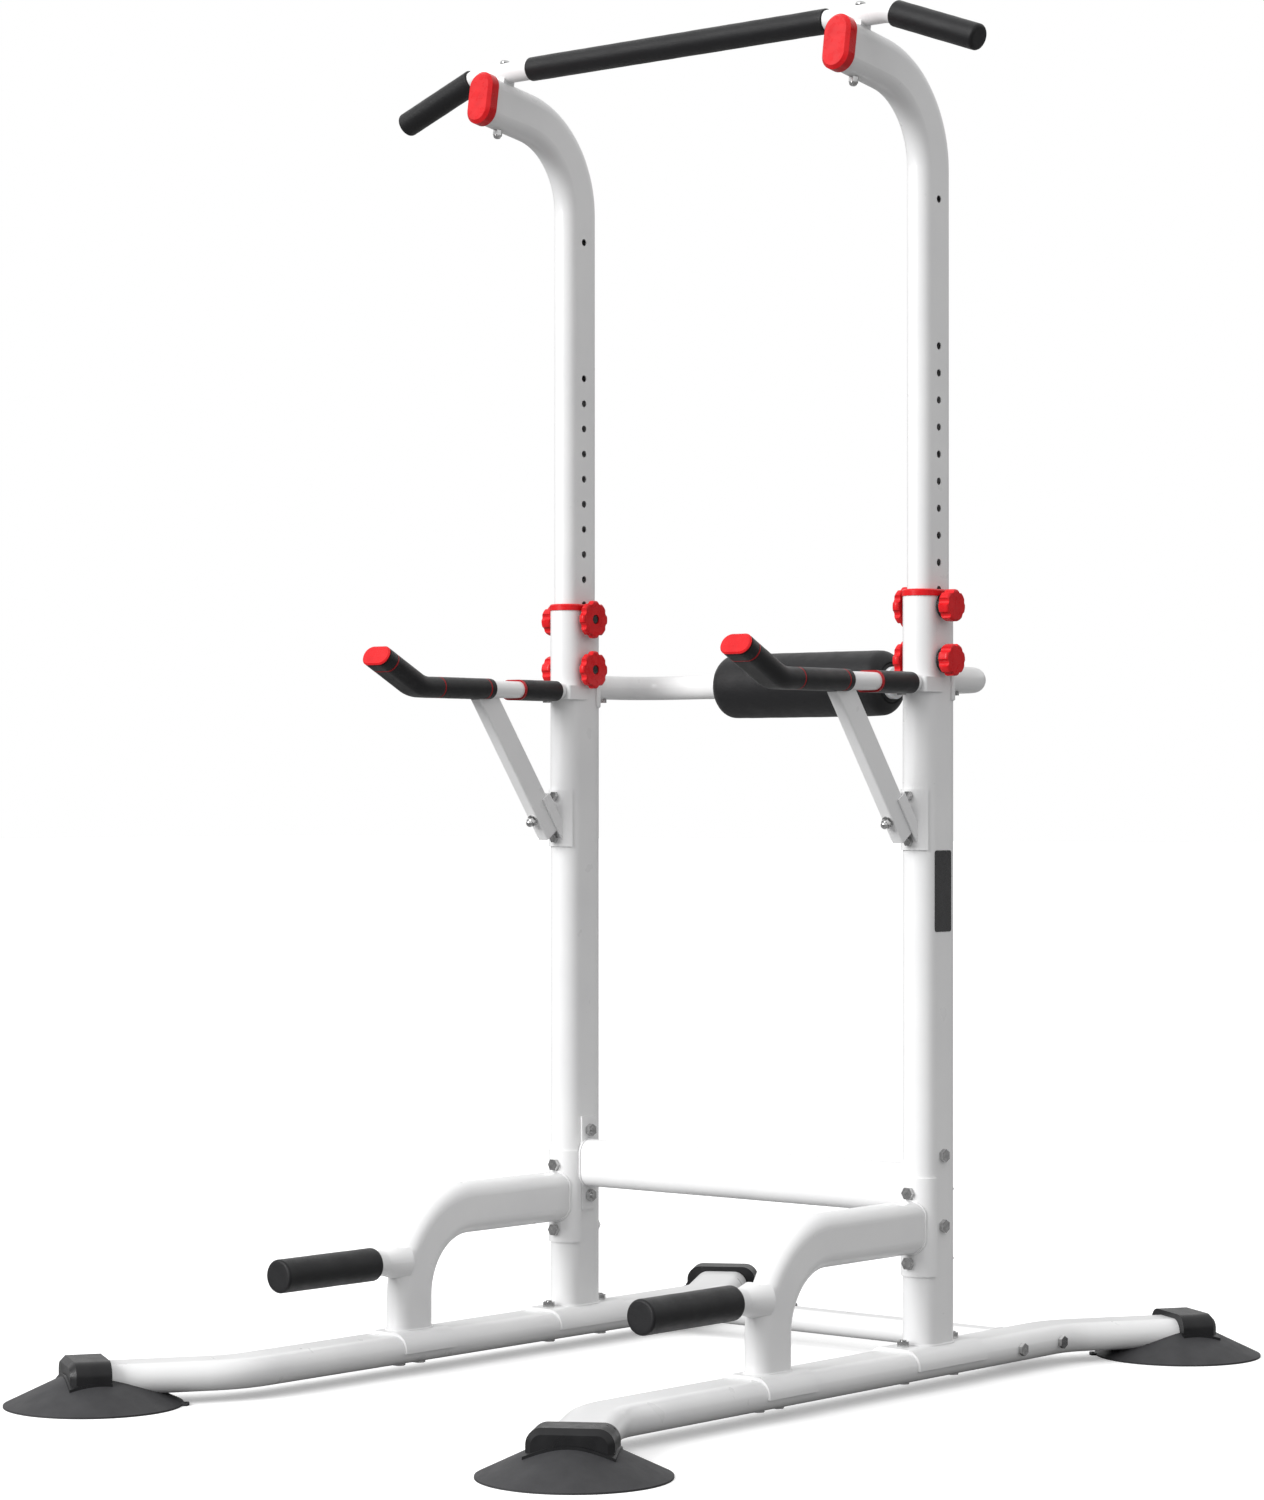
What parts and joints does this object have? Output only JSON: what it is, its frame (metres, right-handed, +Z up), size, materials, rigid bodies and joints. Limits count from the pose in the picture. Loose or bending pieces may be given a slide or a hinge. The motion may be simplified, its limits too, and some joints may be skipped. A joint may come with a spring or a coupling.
{
  "type": "power tower",
  "caption": "Height-adjustable power tower: pull-up bar, dip arms with back roller, push-up grips, floor rails on suction feet.",
  "frame": {"origin": "floor point in the middle of the footprint, 206 mm ahead of the centre plane of the uprights", "axes": "+X across the machine to the right seen from the front, +Y to the back (the dip arms point along -Y), +Z up"},
  "size_m": [1.171, 1.691, 2.0231],
  "materials": {
    "white_paint": "white powder coat, satin gloss",
    "red_plastic": "glossy red moulded plastic",
    "cup_rubber": "dark grey rubber",
    "black_plastic": "black moulded plastic",
    "pale_plastic": "pale moulded plastic",
    "label_black": "blank black sticker",
    "grip_foam": "closed-cell foam grip, fine matte grain",
    "roller_foam": "soft closed-cell foam roller",
    "dark_steel": "blackened steel",
    "zinc_steel": "bright zinc plated steel"
  },
  "bodies": {
    "base_frame": {"arm_end_caps": "red_plastic", "arm_grip_rings": "red_plastic", "back_bar": "white_paint", "base_bolts": "zinc_steel", "base_cross_tube": "white_paint", "brace_bolts": "zinc_steel", "brace_brackets": "white_paint", "crossbar_bolts": "zinc_steel", "cup_bolts": "zinc_steel", "front_left_foot_cap": "black_plastic", "front_left_suction_cup": "cup_rubber", "front_right_foot_cap": "black_plastic", "front_right_suction_cup": "cup_rubber", "label_plate": "label_black", "left_arm_grips": "grip_foam", "left_base_rail": "white_paint", "left_dip_arm": "white_paint", "left_handle_frame": "white_paint", "left_upright": "white_paint", "lock_nuts": "zinc_steel", "long_frame_bolts": "zinc_steel", "lower_crossbar": "white_paint", "m8_screws": "zinc_steel", "push_up_grips": "grip_foam", "rear_left_foot_cap": "black_plastic", "rear_left_suction_cup": "cup_rubber", "rear_right_foot_cap": "black_plastic", "rear_right_suction_cup": "cup_rubber", "right_arm_grips": "grip_foam", "right_base_rail": "white_paint", "right_dip_arm": "white_paint", "right_handle_frame": "white_paint", "right_upright": "white_paint", "roller_stop_rings": "pale_plastic", "tube_collars": "red_plastic"},
    "upper_frame": {"left_upper_tube": "white_paint", "right_upper_tube": "white_paint", "upper_tube_caps": "red_plastic", "pull_up_bar": "white_paint", "bar_centre_grip": "grip_foam", "bar_outer_grips": "grip_foam", "bar_bolts": "zinc_steel"},
    "roller": {"roller_core": "black_plastic", "roller_pad": "roller_foam"},
    "left_upper_inner_clamp_screw_body": {"left_upper_inner_clamp_screw": "dark_steel"},
    "left_upper_inner_clamp_knob_body": {"left_upper_inner_clamp_knob": "red_plastic"},
    "left_upper_outer_clamp_screw_body": {"left_upper_outer_clamp_screw": "zinc_steel"},
    "left_upper_outer_clamp_knob_body": {"left_upper_outer_clamp_knob": "red_plastic"},
    "left_lower_inner_clamp_screw_body": {"left_lower_inner_clamp_screw": "dark_steel"},
    "left_lower_inner_clamp_knob_body": {"left_lower_inner_clamp_knob": "red_plastic"},
    "left_lower_outer_clamp_screw_body": {"left_lower_outer_clamp_screw": "zinc_steel"},
    "left_lower_outer_clamp_knob_body": {"left_lower_outer_clamp_knob": "red_plastic"},
    "right_upper_inner_clamp_screw_body": {"right_upper_inner_clamp_screw": "dark_steel"},
    "right_upper_inner_clamp_knob_body": {"right_upper_inner_clamp_knob": "red_plastic"},
    "right_upper_outer_clamp_screw_body": {"right_upper_outer_clamp_screw": "zinc_steel"},
    "right_upper_outer_clamp_knob_body": {"right_upper_outer_clamp_knob": "red_plastic"},
    "right_lower_inner_clamp_screw_body": {"right_lower_inner_clamp_screw": "dark_steel"},
    "right_lower_inner_clamp_knob_body": {"right_lower_inner_clamp_knob": "red_plastic"},
    "right_lower_outer_clamp_screw_body": {"right_lower_outer_clamp_screw": "zinc_steel"},
    "right_lower_outer_clamp_knob_body": {"right_lower_outer_clamp_knob": "red_plastic"}
  },
  "joints": [
    {"name": "height_adjust", "type": "slide", "parent": "base_frame", "child": "upper_frame", "axis": [0, 0, 1], "range_m": [-0.36, 0]},
    {"name": "roller_spin", "type": "hinge", "parent": "base_frame", "child": "roller", "pos_m": [0, 0.366, 1.0475], "axis": [1, 0, 0], "continuous": true},
    {"name": "left_upper_inner_clamp_travel", "type": "slide", "parent": "base_frame", "child": "left_upper_inner_clamp_screw_body", "axis": [1, 0, 0], "range_m": [0, 0.003]},
    {"name": "left_upper_inner_clamp_turn", "type": "hinge", "parent": "left_upper_inner_clamp_screw_body", "child": "left_upper_inner_clamp_knob_body", "pos_m": [-0.347, 0.206, 1.1536], "axis": [1, 0, 0], "range_deg": [0, 720]},
    {"name": "left_upper_outer_clamp_travel", "type": "slide", "parent": "base_frame", "child": "left_upper_outer_clamp_screw_body", "axis": [-1, 0, 0], "range_m": [0, 0.003]},
    {"name": "left_upper_outer_clamp_turn", "type": "hinge", "parent": "left_upper_outer_clamp_screw_body", "child": "left_upper_outer_clamp_knob_body", "pos_m": [-0.347, 0.206, 1.1536], "axis": [-1, 0, 0], "range_deg": [0, 720]},
    {"name": "left_lower_inner_clamp_travel", "type": "slide", "parent": "base_frame", "child": "left_lower_inner_clamp_screw_body", "axis": [1, 0, 0], "range_m": [0, 0.003]},
    {"name": "left_lower_inner_clamp_turn", "type": "hinge", "parent": "left_lower_inner_clamp_screw_body", "child": "left_lower_inner_clamp_knob_body", "pos_m": [-0.347, 0.206, 1.0736], "axis": [1, 0, 0], "range_deg": [0, 720]},
    {"name": "left_lower_outer_clamp_travel", "type": "slide", "parent": "base_frame", "child": "left_lower_outer_clamp_screw_body", "axis": [-1, 0, 0], "range_m": [0, 0.003]},
    {"name": "left_lower_outer_clamp_turn", "type": "hinge", "parent": "left_lower_outer_clamp_screw_body", "child": "left_lower_outer_clamp_knob_body", "pos_m": [-0.347, 0.206, 1.0736], "axis": [-1, 0, 0], "range_deg": [0, 720]},
    {"name": "right_upper_inner_clamp_travel", "type": "slide", "parent": "base_frame", "child": "right_upper_inner_clamp_screw_body", "axis": [-1, 0, 0], "range_m": [0, 0.003]},
    {"name": "right_upper_inner_clamp_turn", "type": "hinge", "parent": "right_upper_inner_clamp_screw_body", "child": "right_upper_inner_clamp_knob_body", "pos_m": [0.347, 0.206, 1.1536], "axis": [-1, 0, 0], "range_deg": [0, 720]},
    {"name": "right_upper_outer_clamp_travel", "type": "slide", "parent": "base_frame", "child": "right_upper_outer_clamp_screw_body", "axis": [1, 0, 0], "range_m": [0, 0.003]},
    {"name": "right_upper_outer_clamp_turn", "type": "hinge", "parent": "right_upper_outer_clamp_screw_body", "child": "right_upper_outer_clamp_knob_body", "pos_m": [0.347, 0.206, 1.1536], "axis": [1, 0, 0], "range_deg": [0, 720]},
    {"name": "right_lower_inner_clamp_travel", "type": "slide", "parent": "base_frame", "child": "right_lower_inner_clamp_screw_body", "axis": [-1, 0, 0], "range_m": [0, 0.003]},
    {"name": "right_lower_inner_clamp_turn", "type": "hinge", "parent": "right_lower_inner_clamp_screw_body", "child": "right_lower_inner_clamp_knob_body", "pos_m": [0.347, 0.206, 1.0736], "axis": [-1, 0, 0], "range_deg": [0, 720]},
    {"name": "right_lower_outer_clamp_travel", "type": "slide", "parent": "base_frame", "child": "right_lower_outer_clamp_screw_body", "axis": [1, 0, 0], "range_m": [0, 0.003]},
    {"name": "right_lower_outer_clamp_turn", "type": "hinge", "parent": "right_lower_outer_clamp_screw_body", "child": "right_lower_outer_clamp_knob_body", "pos_m": [0.347, 0.206, 1.0736], "axis": [1, 0, 0], "range_deg": [0, 720]}
  ],
  "couplings": [
    {"joint": "left_upper_inner_clamp_travel", "follows": "left_upper_inner_clamp_turn", "m_per_rad": 0.00023873},
    {"joint": "left_upper_outer_clamp_travel", "follows": "left_upper_outer_clamp_turn", "m_per_rad": 0.00023873},
    {"joint": "left_lower_inner_clamp_travel", "follows": "left_lower_inner_clamp_turn", "m_per_rad": 0.00023873},
    {"joint": "left_lower_outer_clamp_travel", "follows": "left_lower_outer_clamp_turn", "m_per_rad": 0.00023873},
    {"joint": "right_upper_inner_clamp_travel", "follows": "right_upper_inner_clamp_turn", "m_per_rad": 0.00023873},
    {"joint": "right_upper_outer_clamp_travel", "follows": "right_upper_outer_clamp_turn", "m_per_rad": 0.00023873},
    {"joint": "right_lower_inner_clamp_travel", "follows": "right_lower_inner_clamp_turn", "m_per_rad": 0.00023873},
    {"joint": "right_lower_outer_clamp_travel", "follows": "right_lower_outer_clamp_turn", "m_per_rad": 0.00023873}
  ]
}
